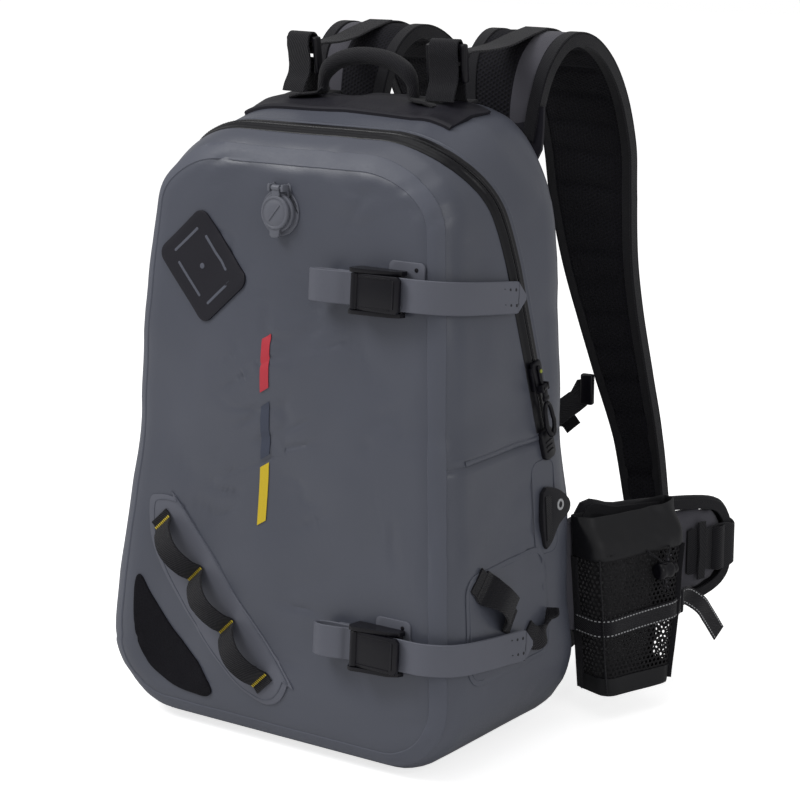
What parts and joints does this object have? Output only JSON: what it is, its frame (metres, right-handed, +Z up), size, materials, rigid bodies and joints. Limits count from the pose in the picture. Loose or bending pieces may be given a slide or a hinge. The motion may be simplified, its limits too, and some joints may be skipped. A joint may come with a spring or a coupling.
{
  "type": "tackle backpack",
  "caption": "Welded waterproof fishing backpack with curved zip, front tool loops, compression straps, padded harness, hip wings and mesh pouch.",
  "frame": {"origin": "centre of the flat wear plate under the bag", "axes": "+Z up, front panel faces -Y, shoulder straps towards +Y, the pouch is on the +X side"},
  "size_m": [0.4328, 0.4369, 0.5504],
  "materials": {
    "shell_front": "satin, thermoplastic-coated woven fabric",
    "shell_side": "satin, thermoplastic-coated woven fabric",
    "strap_film": "satin welded film",
    "webbing": "woven polyester webbing",
    "pad_mesh": "spacer mesh over foam",
    "wing_cloth": "woven cloth over foam with black binding",
    "pouch_mesh": "open hexagon mesh",
    "collar_cloth": "ripstop nylon",
    "band_cloth": "webbing with reflective stitches",
    "buckle_plastic": "moulded acetal",
    "zip_tape": "laminated waterproof zip tape",
    "valve_plastic": "soft moulded cap",
    "patch_rubber": "moulded rubber",
    "fly_cloth": "looped pile",
    "bartack": "yellow stitching",
    "boot_rubber": "matt wear plate",
    "board": "plain sheet"
  },
  "bodies": {
    "bag": {"gusset_lower": "shell_side", "gusset_rear": "shell_side", "back_panel": "pad_mesh", "front_panel_lower": "shell_front", "front_fold": "shell_front", "base_boot": "boot_rubber", "frame_sheet": "board", "zip_tape_rear": "zip_tape", "zip_dock_left": "buckle_plastic", "zip_dock_right": "buckle_plastic", "lower_strap_base": "strap_film", "lower_strap": "strap_film", "lower_buckle": "buckle_plastic", "tool_patch": "strap_film", "tool_webbing": "webbing", "tool_bartacks": "bartack", "fly_patch": "fly_cloth", "rod_patch": "strap_film", "rod_holder": "webbing", "side_tab_right": "webbing", "side_tab_left": "webbing", "top_reinforcement": "webbing", "lifter_left": "buckle_plastic", "lifter_right": "buckle_plastic", "back_pads": "pad_mesh"},
    "front_flap": {"flap_gusset": "shell_side", "flap_panel": "shell_front", "zip_tape_flap": "zip_tape", "valve_body": "valve_plastic", "lash_patch": "patch_rubber", "upper_strap_base": "strap_film", "upper_strap": "strap_film", "upper_buckle": "buckle_plastic"},
    "slider": {"zip_slider": "buckle_plastic"},
    "pull": {"zip_pull": "buckle_plastic"},
    "cap": {"valve_cap": "valve_plastic"},
    "upper_cam": {"upper_lever": "buckle_plastic"},
    "lower_cam": {"lower_lever": "buckle_plastic"},
    "handle": {"grab_handle": "webbing"},
    "strap_l": {"strap_left": "pad_mesh", "ladderlock_left": "buckle_plastic", "lower_webbing_left": "webbing", "sternum_left": "buckle_plastic"},
    "strap_r": {"strap_right": "pad_mesh", "ladderlock_right": "buckle_plastic", "lower_webbing_right": "webbing", "sternum_right": "buckle_plastic"},
    "wing_l": {"wing_left": "wing_cloth", "wing_webbing_left": "webbing"},
    "wing_r": {"wing_right": "wing_cloth", "wing_webbing_right": "webbing", "pouch_body": "pouch_mesh", "pouch_collar": "collar_cloth", "pouch_band": "band_cloth", "cord_lock": "buckle_plastic"},
    "button": {"cord_button": "buckle_plastic"}
  },
  "joints": [
    {"name": "flap_hinge", "type": "hinge", "parent": "bag", "child": "front_flap", "pos_m": [0, 0.042, 0.245], "axis": [1, 0, 0], "range_deg": [0, 24], "deforming": ["front_fold"]},
    {"name": "zip_slide", "type": "slide", "parent": "bag", "child": "slider", "axis": [-0.0581, -0.2421, 0.9685], "range_m": [-0.028, 0.038]},
    {"name": "pull_hinge", "type": "hinge", "parent": "slider", "child": "pull", "pos_m": [0.16269, 0.03119, 0.28873], "axis": [0.0145, -0.9702, -0.2417], "range_deg": [0, 85]},
    {"name": "cap_hinge", "type": "hinge", "parent": "front_flap", "child": "cap", "pos_m": [-0.006, -0.08592, 0.44345], "axis": [-1, 0, 0], "range_deg": [0, 100]},
    {"name": "upper_cam_hinge", "type": "hinge", "parent": "front_flap", "child": "upper_cam", "pos_m": [0.079, -0.10153, 0.37529], "axis": [0, -0.0758, -0.9971], "range_deg": [0, 60]},
    {"name": "lower_cam_hinge", "type": "hinge", "parent": "bag", "child": "lower_cam", "pos_m": [0.092, -0.12205, 0.10529], "axis": [0, -0.0758, -0.9971], "range_deg": [0, 60]},
    {"name": "handle_hinge", "type": "hinge", "parent": "bag", "child": "handle", "pos_m": [0, 0.024, 0.507], "axis": [1, 0, 0], "range_deg": [-30, 30]},
    {"name": "strap_l_hinge", "type": "hinge", "parent": "bag", "child": "strap_l", "pos_m": [-0.076, 0.097, 0.47], "axis": [0.1166, 0, 0.9932], "range_deg": [-4, 8]},
    {"name": "strap_r_hinge", "type": "hinge", "parent": "bag", "child": "strap_r", "pos_m": [0.076, 0.097, 0.47], "axis": [0.1166, 0, -0.9932], "range_deg": [-4, 8]},
    {"name": "wing_l_hinge", "type": "hinge", "parent": "bag", "child": "wing_l", "pos_m": [-0.152, 0.101, 0.118], "axis": [0, 0, 1], "range_deg": [-8, 22]},
    {"name": "wing_r_hinge", "type": "hinge", "parent": "bag", "child": "wing_r", "pos_m": [0.152, 0.101, 0.118], "axis": [0, 0, -1], "range_deg": [-8, 22]},
    {"name": "cord_button_slide", "type": "slide", "parent": "wing_r", "child": "button", "axis": [-0.309, -0.9511, 0], "range_m": [0, 0.004], "stiffness_N_per_m": 120}
  ]
}
